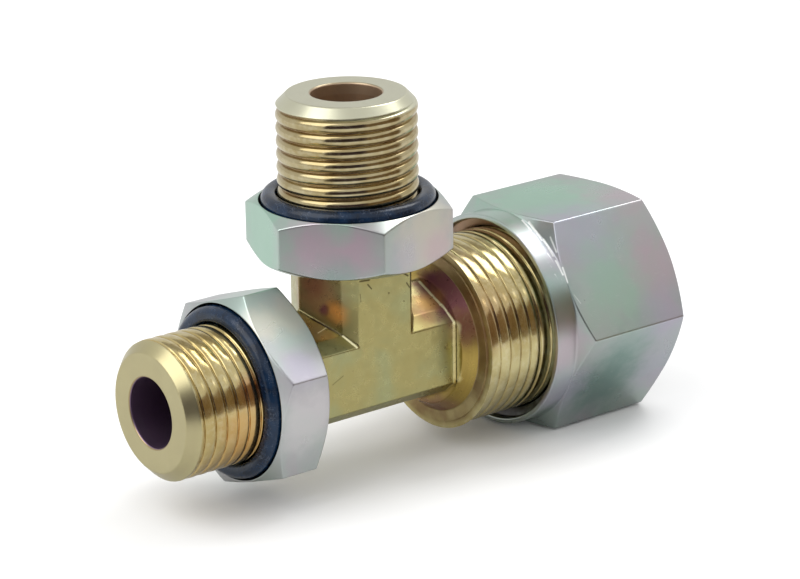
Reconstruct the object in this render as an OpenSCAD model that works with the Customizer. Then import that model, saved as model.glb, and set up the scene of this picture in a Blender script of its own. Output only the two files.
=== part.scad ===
// Brake line tee: a forged brass body with two adjustable studs and one compression joint.
// The origin is where the run axis and the branch axis cross.
// +X runs along the run towards the union nut, +Z along the branch, -Y is the front of the body.
// All sizes are in millimetres.

/* [Body forging] */
// half width of the flat front and back faces
flat_half = 3.68; // [3.0:0.02:4.2]
// distance from the middle plane to the front and back faces
flat_reach = 6.36; // [6.0:0.02:6.8]
// half width where the steep facet meets the long facet
facet_half = 5.0; // [4.4:0.05:5.6]
// distance from the middle plane to that facet edge
facet_reach = 4.85; // [4.0:0.05:5.4]
// half width at the parting ridge
ridge_half = 7.2; // [6.8:0.05:7.4]
// thickness of the trimmed land along the parting ridge
ridge_land = 0.3; // [0.1:0.05:1.0]
// height of the branch arm, from the run axis to its turned end
branch_arm_end = 12.2; // [12.0:0.05:12.6]
// length of the arm under the run stud, from the branch axis
run_arm_end = 9.6; // [9.0:0.05:10.6]
// place where the flare of the shoulder starts
flare_start = 9.8; // [9.0:0.05:10.6]
// radius of the flare where it meets the section
flare_small_r = 7.0; // [6.6:0.05:7.4]
// place of the turned face of the shoulder
shoulder_x = 12.0; // [11.4:0.05:12.4]
// thickness of the turned rim of the shoulder
shoulder_rim = 0.45; // [0.3:0.05:1.0]

/* [Adjustable studs] */
// diameter over the thread of both studs
stud_thread_d = 15.9; // [15.5:0.05:16.4]
// depth of the reliefs below the thread crests
relief_depth = 0.95; // [0.6:0.05:1.2]
// width of the relief at the end of each arm
arm_relief_w = 1.2; // [0.8:0.1:1.6]
// width of the undercut that the O-ring stands over
seal_relief_w = 2.1; // [1.6:0.1:2.3]
// distance from the run axis to the end of the branch stud
branch_tip = 31.22; // [30.5:0.02:33.0]
// distance from the branch axis to the end of the run stud
run_tip = 27.8; // [27.5:0.05:29.5]
// chamfer at the end of each stud
tip_chamfer = 1.2; // [0.6:0.05:1.5]
// diameter of the passages
passage_d = 8.0; // [6.0:0.1:8.6]
// chamfer at the mouth of each passage
passage_chamfer = 0.3; // [0.1:0.05:0.6]

/* [Locknuts] */
// wall from the thread crests to the flats of the locknuts
locknut_wall = 2.35; // [2.1:0.05:2.8]
// height of the locknuts
locknut_h = 6.52; // [5.0:0.02:7.0]
// distance from the end of the branch arm to the branch locknut
branch_nut_gap = 0.33; // [0.3:0.01:0.6]
// distance from the end of the run arm to the run locknut
run_nut_gap = 1.4; // [1.3:0.05:1.8]
// how far the turned end faces stay inside the flats
locknut_face_inset = 0.2; // [0.1:0.05:0.5]
// angle of the end chamfers
nut_chamfer_deg = 30; // [20:1:40]
// chamfer at the mouths of the locknut bores
locknut_bore_chamfer = 0.6; // [0.2:0.05:1.0]
// radial play of each nut on its thread, read at the crests
thread_play = 0.06; // [0.02:0.01:0.1]
// turn of the branch locknut about its axis
branch_nut_turn = 11.44; // [0:0.1:60]
// turn of the run locknut about its axis
run_nut_turn = 41.77; // [0:0.1:60]

/* [O-rings] */
// thickness of the O-rings
o_ring_section = 1.86; // [1.6:0.02:1.9]
// radial play of the O-rings over the thread crests
o_ring_play = 0.08; // [0.03:0.01:0.15]
// radial play of the O-rings in the recesses of the locknuts
recess_play = 0.16; // [0.1:0.02:0.3]
// gap between each O-ring and the floor of its recess
recess_floor_gap = 0.17; // [0.1:0.01:0.3]
// how far the middle of each O-ring stands out of the locknut face
o_ring_stand = 0.12; // [0.05:0.01:0.4]

/* [Pipe joint] */
// outer diameter of the pipe that the joint takes
pipe_d = 15.0; // [14.0:0.1:16.0]
// wall of that pipe, which sets the passage behind its end
pipe_wall = 1.5; // [1.0:0.1:2.5]
// radial play of the pipe end in its socket
socket_play = 0.05; // [0.03:0.01:0.1]
// radial play of the pipe in the nut and in the cutting ring
hole_play = 0.1; // [0.05:0.01:0.3]
// how far the cone widens the socket at its mouth
cone_rise = 1.1; // [0.9:0.05:1.3]
// half angle of the cone
cone_half_deg = 12; // [10:0.5:14]
// wall from the mouth of the cone to the crests of the union thread
male_wall = 2.2; // [2.0:0.05:2.6]
// place of the end face of the male end
male_end = 25.0; // [24.4:0.1:26.0]
// chamfer at the end of the male end
male_chamfer = 1.0; // [0.6:0.1:1.2]
// depth of the pipe stop behind the end of the male end
socket_depth = 7.0; // [6.6:0.1:7.8]
// place where the passage behind the pipe steps down to the body passage
run_bore_end = 12.5; // [11.0:0.1:14.0]
// step from the union thread up to the shoulder
shoulder_step = 0.25; // [0.15:0.05:0.5]
// width of the turned shoulder face outside the flare
shoulder_face = 1.23; // [0.8:0.05:1.6]

/* [Union nut] */
// how far the lip of the union nut reaches back over the male thread
lip_reach = 4.8; // [4.2:0.05:5.0]
// room between the union thread and the counterbore at the lip
counterbore_room = 1.15; // [0.9:0.05:1.4]
// depth of that counterbore
counterbore_depth = 1.0; // [0.6:0.1:1.8]
// chamfer from the floor of the counterbore into the nut thread
counterbore_chamfer = 0.6; // [0.3:0.05:0.9]
// wall of the lip outside the counterbore
lip_wall = 0.61; // [0.5:0.02:1.0]
// length of the turned nose
nose_length = 2.85; // [2.4:0.05:3.2]
// how far the nose is turned below the flats
nose_drop = 0.09; // [0.03:0.02:0.3]
// length of the union nut
union_length = 18.95; // [18.4:0.05:20.3]
// how far the back face stays inside the flats
union_face_inset = 0.2; // [0.1:0.05:0.5]
// chamfer at the mouth of the pipe hole
pipe_hole_chamfer = 0.5; // [0.2:0.1:1.0]
// turn of the union nut about its axis
union_turn = 59.6; // [0:0.1:60]

/* [Cutting ring] */
// how far the front edge of the cutting ring reaches into the cone
ring_reach = 2.0; // [1.8:0.05:2.1]
// length of the cutting ring
ring_length = 8.0; // [7.8:0.1:8.2]
// free travel left between the ring nose and the male cone
ring_travel = 2.0; // [1.8:0.1:2.2]
// height of the collar of the cutting ring over the pipe
ring_collar = 2.3; // [1.9:0.05:2.6]
// distance from the front edge of the ring to its rear slope
ring_slope_place = 6.6; // [6.2:0.1:6.8]
// gap along the axis between that slope and the slope in the union nut
slope_gap = 0.3; // [0.15:0.05:0.6]

/* [Hidden] */
$fn = 96;
brass = [0.78, 0.64, 0.33];
zinc = [0.74, 0.77, 0.77];
steel = [0.55, 0.56, 0.58];
rubber = [0.09, 0.1, 0.12];
stud_r = stud_thread_d / 2;
relief_r = stud_r - relief_depth;
passage_r = passage_d / 2;
nut_bore_r = stud_r + thread_play;
locknut_af = 2 * (stud_r + locknut_wall);
locknut_corner_r = locknut_af / sqrt(3);
locknut_face_r = locknut_af / 2 - locknut_face_inset;
branch_nut_low = branch_arm_end + branch_nut_gap;
run_nut_near = run_arm_end + run_nut_gap;
o_ring_r = o_ring_section / 2;
o_ring_mid_r = stud_r + o_ring_play + o_ring_r;
recess_r = o_ring_mid_r + o_ring_r + recess_play;
recess_depth = o_ring_r - o_ring_stand + recess_floor_gap;
branch_seal_z = branch_nut_low + locknut_h + o_ring_stand;
run_seal_x = run_nut_near + locknut_h + o_ring_stand;
pipe_bore_r = pipe_d / 2 - pipe_wall;
socket_r = pipe_d / 2 + socket_play;
hole_r = pipe_d / 2 + hole_play;
cone_mouth_r = socket_r + cone_rise;
pipe_stop = male_end - socket_depth;
cone_start = male_end - cone_rise / tan(cone_half_deg);
male_thread_r = cone_mouth_r + male_wall;
shoulder_r = male_thread_r + shoulder_step;
flare_large_r = shoulder_r - shoulder_face;
union_bore_r = male_thread_r + thread_play;
counterbore_r = male_thread_r + counterbore_room;
nose_r = counterbore_r + lip_wall;
union_af = 2 * (nose_r + nose_drop);
union_corner_r = union_af / sqrt(3);
union_face_r = union_af / 2 - union_face_inset;
union_lip = male_end - lip_reach;
nose_end = union_lip + nose_length;
union_back = union_lip + union_length;
ring_front = male_end - ring_reach;
ring_slope_start = ring_front + ring_slope_place;
ring_cone_zero = cone_start + ring_travel;
ring_nose_r = socket_r + (ring_front - ring_cone_zero) * tan(cone_half_deg);
ring_cone_end = male_end + ring_travel - 0.2;
ring_cone_r = socket_r + (ring_cone_end - ring_cone_zero) * tan(cone_half_deg);
ring_collar_r = hole_r + ring_collar;
ring_back = ring_front + ring_length;
ring_back_r = ring_collar_r - (ring_back - ring_slope_start);
slope_sum = ring_collar_r + ring_slope_start + slope_gap;

// outline of the forging across an arm, with flat faces to the front and back
module arm_section() {
    polygon([
        [-ridge_half, -ridge_land / 2],
        [-facet_half, -facet_reach],
        [-flat_half, -flat_reach],
        [flat_half, -flat_reach],
        [facet_half, -facet_reach],
        [ridge_half, -ridge_land / 2],
        [ridge_half, ridge_land / 2],
        [facet_half, facet_reach],
        [flat_half, flat_reach],
        [-flat_half, flat_reach],
        [-facet_half, facet_reach],
        [-ridge_half, ridge_land / 2]
    ]);
}

// puts a shape drawn along +Z on the run, pointing towards the union nut
module along_run() {
    rotate([0, 90, 0])
        rotate([0, 0, 90])
            children();
}

// puts a shape drawn along +Z on the run, pointing towards the run stud
module along_stud() {
    rotate([0, -90, 0])
        rotate([0, 0, -90])
            children();
}

// the two forged arms, which meet in mitred inner corners
module forged_arms() {
    linear_extrude(height = branch_arm_end)
        arm_section();
    translate([-run_arm_end, 0, 0])
        rotate([0, 90, 0])
            linear_extrude(height = run_arm_end + flare_start + 1.2)
                arm_section();
}

// a stud along +Z, from the end of its arm to its tip, with the reliefs cut
module stud(arm_end, seal_place, tip) {
    rotate_extrude()
        polygon([
            [0, arm_end - 3],
            [relief_r - 0.6, arm_end - 3],
            [relief_r - 0.6, arm_end - 0.6],
            [relief_r, arm_end],
            [relief_r, arm_end + arm_relief_w],
            [stud_r, arm_end + arm_relief_w + stud_r - relief_r],
            [stud_r, seal_place - seal_relief_w / 2 - (stud_r - relief_r) / 2],
            [relief_r, seal_place - seal_relief_w / 2],
            [relief_r, seal_place + seal_relief_w / 2 - 0.5],
            [stud_r, seal_place + seal_relief_w / 2],
            [stud_r, tip - tip_chamfer],
            [stud_r - tip_chamfer, tip],
            [0, tip]
        ]);
}

// the turned outside of the compression end, drawn along +Z
module compression_end() {
    rotate_extrude()
        polygon([
            [0, flare_start - 3],
            [flare_small_r - 1.0, flare_start - 3],
            [flare_small_r - 0.6, flare_start - 0.6],
            [flare_small_r, flare_start],
            [flare_large_r, shoulder_x],
            [shoulder_r, shoulder_x],
            [shoulder_r, shoulder_x + shoulder_rim],
            [male_thread_r, shoulder_x + shoulder_rim + shoulder_r - male_thread_r],
            [male_thread_r, male_end - male_chamfer],
            [male_thread_r - male_chamfer, male_end],
            [0, male_end]
        ]);
}

// the passage, the pipe stop, the socket and the cone, drawn along +Z
module compression_bore() {
    rotate_extrude()
        polygon([
            [0, run_bore_end - pipe_bore_r + passage_r - 1],
            [passage_r, run_bore_end - pipe_bore_r + passage_r - 1],
            [passage_r, run_bore_end - pipe_bore_r + passage_r],
            [pipe_bore_r, run_bore_end],
            [pipe_bore_r, pipe_stop],
            [socket_r, pipe_stop],
            [socket_r, cone_start],
            [cone_mouth_r, male_end],
            [cone_mouth_r + 0.2, male_end + 1],
            [0, male_end + 1]
        ]);
}

// a drilled passage along +Z that ends in a chamfered mouth
module passage(start, tip) {
    translate([0, 0, start])
        cylinder(r = passage_r, h = tip - start + 1);
    translate([0, 0, tip - passage_chamfer])
        cylinder(r1 = passage_r, r2 = passage_r + 2 * passage_chamfer, h = 2 * passage_chamfer);
}

module tee_body() {
    color(brass)
        difference() {
            union() {
                forged_arms();
                stud(branch_arm_end, branch_seal_z, branch_tip);
                along_stud()
                    stud(run_arm_end, run_seal_x, run_tip);
                along_run()
                    compression_end();
            }
            passage(0, branch_tip);
            along_stud()
                passage(-run_bore_end, run_tip);
            along_run()
                compression_bore();
        }
}

// the turned blank that bevels the corners of a nut, drawn along +Z from 0 to h
module nut_blank(h, face_r, corner_r) {
    slope = (corner_r + 1 - face_r) * tan(nut_chamfer_deg);
    rotate_extrude()
        polygon([
            [0, 0],
            [face_r, 0],
            [corner_r + 1, slope],
            [corner_r + 1, h - slope],
            [face_r, h],
            [0, h]
        ]);
}

// one locknut along +Z, with its inner face at 0 and the recess at its outer face
module locknut(turn) {
    difference() {
        intersection() {
            rotate([0, 0, turn])
                cylinder(r = locknut_corner_r, h = locknut_h, $fn = 6);
            nut_blank(locknut_h, locknut_face_r, locknut_corner_r);
        }
        rotate_extrude()
            polygon([
                [0, -1],
                [nut_bore_r + locknut_bore_chamfer + 1, -1],
                [nut_bore_r, locknut_bore_chamfer],
                [nut_bore_r, locknut_h - recess_depth],
                [recess_r - 0.4, locknut_h - recess_depth],
                [recess_r, locknut_h - recess_depth + 0.4],
                [recess_r, locknut_h + 1],
                [0, locknut_h + 1]
            ]);
    }
}

// one O-ring around +Z with its middle at 0
module o_ring() {
    rotate_extrude()
        translate([o_ring_mid_r, 0])
            circle(r = o_ring_r, $fn = 48);
}

module branch_locknut() {
    color(zinc)
        translate([0, 0, branch_nut_low])
            locknut(branch_nut_turn);
}

module branch_o_ring() {
    color(rubber)
        translate([0, 0, branch_seal_z])
            o_ring();
}

module run_locknut() {
    color(zinc)
        along_stud()
            translate([0, 0, run_nut_near])
                locknut(-run_nut_turn);
}

module run_o_ring() {
    color(rubber)
        along_stud()
            translate([0, 0, run_seal_x])
                o_ring();
}

// outside of the union nut along +Z: turned nose, then the hexagon with bevelled corners
module union_outside() {
    slope = tan(nut_chamfer_deg);
    span = union_corner_r + 1 - nose_r;
    back_span = union_corner_r + 1 - union_face_r;
    intersection() {
        rotate([0, 0, union_turn])
            cylinder(r = union_corner_r, h = union_back, $fn = 6);
        rotate_extrude()
            polygon([
                [0, union_lip],
                [nose_r, union_lip],
                [nose_r, nose_end],
                [nose_r + span, nose_end + span * slope],
                [nose_r + span, union_back - back_span * slope],
                [union_face_r, union_back],
                [0, union_back]
            ]);
    }
}

module union_nut() {
    color(zinc)
        along_run()
            difference() {
                union_outside();
                rotate_extrude()
                    polygon([
                        [0, union_lip - 1],
                        [counterbore_r, union_lip - 1],
                        [counterbore_r, union_lip + counterbore_depth],
                        [union_bore_r, union_lip + counterbore_depth + counterbore_chamfer],
                        [union_bore_r, slope_sum - union_bore_r],
                        [hole_r, slope_sum - hole_r],
                        [hole_r, union_back - pipe_hole_chamfer],
                        [hole_r + pipe_hole_chamfer + 1, union_back + 1],
                        [0, union_back + 1]
                    ]);
            }
}

module cutting_ring() {
    color(steel)
        along_run()
            rotate_extrude()
                polygon([
                    [hole_r, ring_front],
                    [ring_nose_r, ring_front],
                    [ring_cone_r, ring_cone_end],
                    [ring_collar_r, ring_cone_end + ring_collar_r - ring_cone_r],
                    [ring_collar_r, ring_slope_start],
                    [ring_back_r, ring_back],
                    [hole_r, ring_back]
                ]);
}

tee_body();
branch_locknut();
branch_o_ring();
run_locknut();
run_o_ring();
union_nut();
cutting_ring();
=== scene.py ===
import math

import bmesh
import bpy
import numpy as np
from mathutils import Matrix, Vector


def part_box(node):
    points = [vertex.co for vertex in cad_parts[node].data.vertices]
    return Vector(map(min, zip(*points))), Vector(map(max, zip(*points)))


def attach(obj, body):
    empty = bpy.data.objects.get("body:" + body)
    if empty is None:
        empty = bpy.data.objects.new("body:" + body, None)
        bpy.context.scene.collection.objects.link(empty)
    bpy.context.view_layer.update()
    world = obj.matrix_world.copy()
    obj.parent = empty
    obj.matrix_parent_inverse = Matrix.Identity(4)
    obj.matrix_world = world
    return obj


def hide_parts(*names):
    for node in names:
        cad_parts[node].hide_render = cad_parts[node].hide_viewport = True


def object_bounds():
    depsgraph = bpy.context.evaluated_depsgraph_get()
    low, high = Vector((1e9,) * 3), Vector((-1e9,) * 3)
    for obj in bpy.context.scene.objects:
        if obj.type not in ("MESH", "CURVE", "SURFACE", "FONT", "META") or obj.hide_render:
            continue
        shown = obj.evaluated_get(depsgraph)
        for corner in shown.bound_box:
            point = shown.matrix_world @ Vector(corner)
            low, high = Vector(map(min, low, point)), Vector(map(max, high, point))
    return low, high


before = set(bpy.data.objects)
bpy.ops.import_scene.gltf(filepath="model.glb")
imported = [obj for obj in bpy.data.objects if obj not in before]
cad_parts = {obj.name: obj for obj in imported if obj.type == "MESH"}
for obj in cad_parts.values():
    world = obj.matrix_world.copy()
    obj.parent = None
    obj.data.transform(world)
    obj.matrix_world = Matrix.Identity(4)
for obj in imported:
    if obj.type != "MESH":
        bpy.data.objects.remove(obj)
cad_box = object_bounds()

# Lengths below are in millimetres, until mesh_from turns them into metres.
MM = 0.001

# Ways that a shape drawn along +Z is laid: up the branch, towards the union nut, towards the run stud.
UP_BRANCH = Matrix(((1, 0, 0), (0, 1, 0), (0, 0, 1)))
TO_UNION = Matrix(((0, 0, 1), (1, 0, 0), (0, 1, 0)))
TO_RUN_STUD = Matrix(((0, 0, -1), (-1, 0, 0), (0, 1, 0)))
# The same for the run's forged bar, whose ridges lie above and below it.
ACROSS_RUN = Matrix(((0, 0, 1), (0, 1, 0), (-1, 0, 0)))

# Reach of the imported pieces, read from the frame.
body_low, body_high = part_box("tee_body")
branch_nut_low, branch_nut_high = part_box("branch_locknut")
run_nut_low, run_nut_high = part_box("run_locknut")
branch_ring_low, branch_ring_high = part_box("branch_o_ring")
run_ring_low, run_ring_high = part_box("run_o_ring")
union_low, union_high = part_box("union_nut")

BRANCH_TIP = body_high.z / MM
RUN_TIP = -body_low.x / MM
MALE_END = body_high.x / MM
BRANCH_NUT_PLANES = (branch_nut_low.z / MM, branch_nut_high.z / MM)
RUN_NUT_PLANES = (-run_nut_high.x / MM, -run_nut_low.x / MM)
BRANCH_RING_MIDDLE = (branch_ring_low.z + branch_ring_high.z) / 2 / MM
RUN_RING_MIDDLE = -(run_ring_low.x + run_ring_high.x) / 2 / MM
UNION_PLANES = (union_low.x / MM, union_high.x / MM)

# Studs. STUD_INSIDE is how far they reach into the arms.
STUD_CREST_R = 7.97
STUD_ROOT_R = 7.38
RELIEF_R = 7.0
TIP_CHAMFER = 1.2
PASSAGE_R = 4.0
MOUTH_EDGE = 0.16
BRANCH_ARM_END = 12.2
RUN_ARM_END = 9.6
ARM_RELIEF = 1.2
STUD_INSIDE = 0.7
DRILL_ROOM = 0.02
PITCH = 1.5

# Crest of each thread: half its width, how far it is rounded, and its height at angle 0.
# In the photo a crest of the branch's thread passes its left edge 28.84 mm up.
BRANCH_LEFT_EDGE = math.radians(141.7)
BRANCH_CREST = (0.54, 0.19, 28.84 - PITCH * BRANCH_LEFT_EDGE / (2 * math.pi))
RUN_CREST = (0.59, 0.06, 1.32)
UNION_CREST = (0.60, 0.05, -0.3)
FLANK_SLOPE = math.tan(math.radians(60))
THREAD_ROW = 0.062
PLAIN_ROW = 1.5

# Forging
FLAT_HALF = 3.68
FLAT_REACH = 6.36
FACET_HALF = 5.0
FACET_REACH = 4.84
RIDGE_HALF = 7.2
RIDGE_LAND = 0.3
BACK_REACH_SHARE = 0.93
SHARP_FOLD = math.radians(12)
ARM_INSIDE_FLARE = 1.4
DRESSED_EDGE = 0.17
DRESSED_CORNER = 0.34

# Male cone end
SHOULDER_X = 11.4
SHOULDER_R = 11.08
SHOULDER_STEP_R = 10.25
SHOULDER_STEP = 0.16
SHOULDER_RIM = 0.12
SHOULDER_END = SHOULDER_X + SHOULDER_STEP + SHOULDER_RIM
FLARE_START = 9.9
FLARE_NECK_R = 7.7
FLARE_INSIDE = 0.3
FLARE_R = 8.95
FLARE_SLOPE = (FLARE_R - FLARE_NECK_R) / (SHOULDER_X - FLARE_START)
UNION_CREST_R = 10.82
UNION_ROOT_R = 10.28
MALE_CHAMFER = 1.0
CONE_MOUTH_R = 8.65
SOCKET_R = 7.55
CONE_START = 19.83
PIPE_STOP = 18.0
PIPE_BORE_R = 6.0
PIPE_BORE_END = 12.5

# Nuts
LOCKNUT_FLATS = 20.6
LOCKNUT_FACE_R = 10.2
LOCKNUT_BORE_R = 8.01
LOCKNUT_BORE_CHAMFER = 0.6
LOCKNUT_FACE_ROOM = 0.04
RECESS_R = 10.12
RECESS_DEPTH = 0.98
RECESS_CORNER = 0.4
NUT_CHAMFER = math.tan(math.radians(30))
UNION_FLATS = 25.4
UNION_FACE_R = 12.5
NOSE_R = 12.61
NOSE_END = 23.05
COUNTERBORE_R = 12.0
COUNTERBORE_STRAIGHT = 1.0
COUNTERBORE_DEPTH = 1.6
UNION_BORE_R = 10.91
PIPE_HOLE_R = 7.6
PIPE_HOLE_CHAMFER = 0.5
SLOPE_SUM = 39.8
BRANCH_NUT_TURN = math.radians(11.44)
RUN_NUT_TURN = math.radians(18.23)
UNION_TURN = math.radians(59.6)

# O-rings
O_RING_INNER_R = 8.0
O_RING_OUTER_R = 9.86
O_RING_HALF_HEIGHT = 1.05
O_RING_DROP = 0.12
O_RING_PRESSED = 0.45


def colour(r, g, b):
    """A colour written as screen values from 0 to 255, in Blender's linear light."""
    channels = []
    for value in (r, g, b):
        value = value / 255
        channels.append(value / 12.92 if value < 0.04045 else ((value + 0.055) / 1.055) ** 2.4)
    return (*channels, 1.0)


# Meshes


def in_scene(name, data):
    """A new object in the scene, with its data."""
    piece = bpy.data.objects.new(name, data)
    bpy.context.scene.collection.objects.link(piece)
    return piece


def plain_mesh(name, points, faces):
    """An object at the origin, with its points in metres."""
    mesh = bpy.data.meshes.new(name)
    mesh.from_pydata(points, [], faces)
    return in_scene(name, mesh)


def mesh_from(name, points, faces, laid):
    """A smooth object at the origin, with its points turned to lie as laid and brought to metres."""
    placed = (np.asarray(points) @ np.array(laid).T) * MM
    piece = plain_mesh(name, placed.tolist(), faces)
    piece.data.validate()
    piece.data.shade_smooth()
    return piece


def even_angles(columns):
    return np.arange(columns) * (2 * math.pi / columns)


def outline_from(corners, columns):
    """An outline for each angle from its corners (radius, height), whose values may differ by angle."""
    spread = [[np.broadcast_to(value, columns) for value in corner] for corner in corners]
    return np.stack([np.stack(corner, axis=1) for corner in spread], axis=1).astype(float)


def ease(outline, radius, arc_steps=3):
    """Rounds every corner of closed outlines (columns, corners, 2), with a support point on each side."""
    before = np.roll(outline, 1, axis=1)
    after = np.roll(outline, -1, axis=1)
    way_in = outline - before
    way_out = after - outline
    length_in = np.linalg.norm(way_in, axis=2, keepdims=True)
    length_out = np.linalg.norm(way_out, axis=2, keepdims=True)
    way_in = way_in / np.maximum(length_in, 1e-9)
    way_out = way_out / np.maximum(length_out, 1e-9)
    reach = np.minimum(radius, 0.3 * np.minimum(length_in, length_out))
    start = outline - way_in * reach
    end = outline + way_out * reach
    rows = [start - way_in * reach * 0.4]
    for step in range(arc_steps + 1):
        t = step / arc_steps
        rows.append(start * (1 - t) ** 2 + outline * 2 * t * (1 - t) + end * t ** 2)
    rows.append(end + way_out * reach * 0.4)
    columns, corners = outline.shape[:2]
    return np.stack(rows, axis=2).reshape(columns, corners * len(rows), 2)


def fill_rows(outline, spacings):
    """Adds evenly spaced rows wherever a row and the next are further apart than the row's spacing."""
    after = np.roll(outline, -1, axis=1)
    gaps = np.linalg.norm(after - outline, axis=2).max(axis=0)
    rows = []
    for row, (gap, spacing) in enumerate(zip(gaps, spacings)):
        pieces = max(1, math.ceil(gap / spacing))
        for part in range(pieces):
            share = part / pieces
            rows.append(outline[:, row] * (1 - share) + after[:, row] * share)
    return np.stack(rows, axis=1)


def thread_spacings(outline, start, end):
    """Spacings close enough to carry a thread between two heights, and wide elsewhere."""
    after = np.roll(outline, -1, axis=1)
    spacings = []
    for (radius, height), (next_radius, next_height) in zip(outline[0], after[0]):
        low, high = sorted((height, next_height))
        outer = min(radius, next_radius) > STUD_ROOT_R - 0.5
        on_thread = outer and low >= start - 0.01 and high <= end + 0.01 and high - low > 0.06
        spacings.append(THREAD_ROW if on_thread else PLAIN_ROW)
    return spacings


def ring_solid(name, angles, outline, laid):
    """A closed ring-shaped solid from one closed outline (radius, height) for each angle."""
    columns, rows = outline.shape[:2]
    x = outline[:, :, 0] * np.cos(angles)[:, None]
    y = outline[:, :, 0] * np.sin(angles)[:, None]
    points = np.stack([x, y, outline[:, :, 1]], axis=2).reshape(-1, 3)
    faces = []
    for column in range(columns):
        here = column * rows
        beside = (column + 1) % columns * rows
        for row in range(rows):
            above = (row + 1) % rows
            faces.append((here + row, beside + row, beside + above, here + above))
    return mesh_from(name, points, faces, laid)


def prism(name, low, high, laid):
    """A closed solid between two rings with the same number of points."""
    count = len(low)
    faces = [tuple(reversed(range(count))), tuple(range(count, 2 * count))]
    for side in range(count):
        beside = (side + 1) % count
        faces.append((side, beside, count + beside, count + side))
    return mesh_from(name, low + high, faces, laid)


def frustum(name, radii, heights, laid, count):
    """A round bar between two heights that has its own radius at each end."""
    angles = even_angles(count)
    low, high = [
        [(radius * math.cos(a), radius * math.sin(a), height) for a in angles]
        for radius, height in zip(radii, heights)
    ]
    return prism(name, low, high, laid)


def soft_max(a, b, blend):
    return np.maximum(a, b) + np.maximum(blend - np.abs(a - b), 0) ** 2 / (4 * blend)


def soft_min(a, b, blend):
    return -soft_max(-a, -b, blend)


def cut_thread(outline, angles, radii, crest, start, end):
    """Cuts a right-hand thread with broad, rounded crests between two heights, never adding metal."""
    crest_r, root_r = radii
    crest_half, crest_crown, crest_height = crest
    radius = outline[:, :, 0]
    height = outline[:, :, 1]
    turns = (height - crest_height) / PITCH - angles[:, None] / (2 * math.pi)
    away = np.abs(turns - np.round(turns)) * PITCH
    crown = crest_crown * (away / crest_half) ** 2
    flank = crest_crown + (away - crest_half) * FLANK_SLOPE
    drop = soft_max(crown, flank, 0.05)
    drop = soft_min(drop, 0 * drop + crest_r - root_r, 0.1)
    wander = 0.005 * np.sin(3 * angles[:, None] + 2.1 * height) * np.sin(7 * angles[:, None] - 1.3 * height)
    threaded = crest_r - drop + wander
    inside = (height > start) & (height < end) & (radius > root_r - 0.4)
    outline[:, :, 0] = np.where(inside, np.minimum(radius, threaded), radius)
    return outline


def threaded_solid(name, corners, columns, edge, radii, crest, thread, laid):
    """A turned piece from its corners, with its edges rounded and a thread cut between two heights."""
    outline = ease(outline_from(corners, columns), edge)
    outline = fill_rows(outline, thread_spacings(outline, *thread))
    angles = even_angles(columns)
    return ring_solid(name, angles, cut_thread(outline, angles, radii, crest, *thread), laid)


# Tee body


def turned_stud(name, arm_end, tip, crest, laid):
    """A threaded stud with its passage, from inside its arm to its tip."""
    thread_start = arm_end + ARM_RELIEF
    corners = [
        (PASSAGE_R, arm_end - STUD_INSIDE),
        (RELIEF_R - STUD_INSIDE, arm_end - STUD_INSIDE),
        (RELIEF_R, arm_end),
        (RELIEF_R, thread_start),
        (STUD_CREST_R, thread_start + STUD_CREST_R - RELIEF_R),
        (STUD_CREST_R, tip - TIP_CHAMFER),
        (STUD_CREST_R - TIP_CHAMFER, tip),
        (PASSAGE_R + MOUTH_EDGE, tip),
        (PASSAGE_R, tip - MOUTH_EDGE),
    ]
    radii = (STUD_CREST_R, STUD_ROOT_R)
    return threaded_solid(name, corners, 144, 0.12, radii, crest, (thread_start, tip), laid)


def cone_end(name):
    """The flare, the shoulder, the union thread and the cone, in one turned piece."""
    corners = [
        (PASSAGE_R, FLARE_START + FLARE_INSIDE),
        (FLARE_NECK_R + FLARE_INSIDE * FLARE_SLOPE, FLARE_START + FLARE_INSIDE),
        (FLARE_R, SHOULDER_X),
        (SHOULDER_STEP_R, SHOULDER_X),
        (SHOULDER_STEP_R, SHOULDER_X + SHOULDER_STEP),
        (SHOULDER_R, SHOULDER_X + SHOULDER_STEP),
        (SHOULDER_R, SHOULDER_END),
        (UNION_CREST_R, SHOULDER_END + SHOULDER_R - UNION_CREST_R),
        (UNION_CREST_R, MALE_END - MALE_CHAMFER),
        (UNION_CREST_R - MALE_CHAMFER, MALE_END),
        (CONE_MOUTH_R, MALE_END),
        (SOCKET_R, CONE_START),
        (SOCKET_R, PIPE_STOP),
        (PIPE_BORE_R, PIPE_STOP),
        (PIPE_BORE_R, PIPE_BORE_END),
        (PASSAGE_R, PIPE_BORE_END - PIPE_BORE_R + PASSAGE_R),
    ]
    radii = (UNION_CREST_R, UNION_ROOT_R)
    return threaded_solid(name, corners, 168, 0.1, radii, UNION_CREST, (SHOULDER_END, MALE_END), TO_UNION)


def bake(piece):
    """Applies the modifiers of a piece to its mesh."""
    graph = bpy.context.evaluated_depsgraph_get()
    mesh = bpy.data.meshes.new_from_object(piece.evaluated_get(graph))
    worn_out = piece.data
    piece.modifiers.clear()
    piece.data = mesh
    bpy.data.meshes.remove(worn_out)


def combine(piece, tool, operation):
    """Joins a piece with a tool or cuts it with one, and throws the tool away."""
    step = piece.modifiers.new("combine", "BOOLEAN")
    step.operation = operation
    step.solver = "EXACT"
    step.object = tool
    bake(piece)
    bpy.data.objects.remove(tool)


def arm_prism(name, start, end, laid):
    """A length of forged bar with flat faces to the front and back and a ridge along the parting plane."""
    quarter = [(RIDGE_HALF, RIDGE_LAND / 2), (FACET_HALF, FACET_REACH), (FLAT_HALF, FLAT_REACH)]
    back = [(across, reach * BACK_REACH_SHARE) for across, reach in quarter]
    section = back + [(-across, reach) for across, reach in reversed(back)]
    section += [(-across, -reach) for across, reach in quarter]
    section += [(across, -reach) for across, reach in reversed(quarter)]
    low, high = [[(across, reach, height) for across, reach in section] for height in (start, end)]
    return prism(name, low, high, laid)


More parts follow.
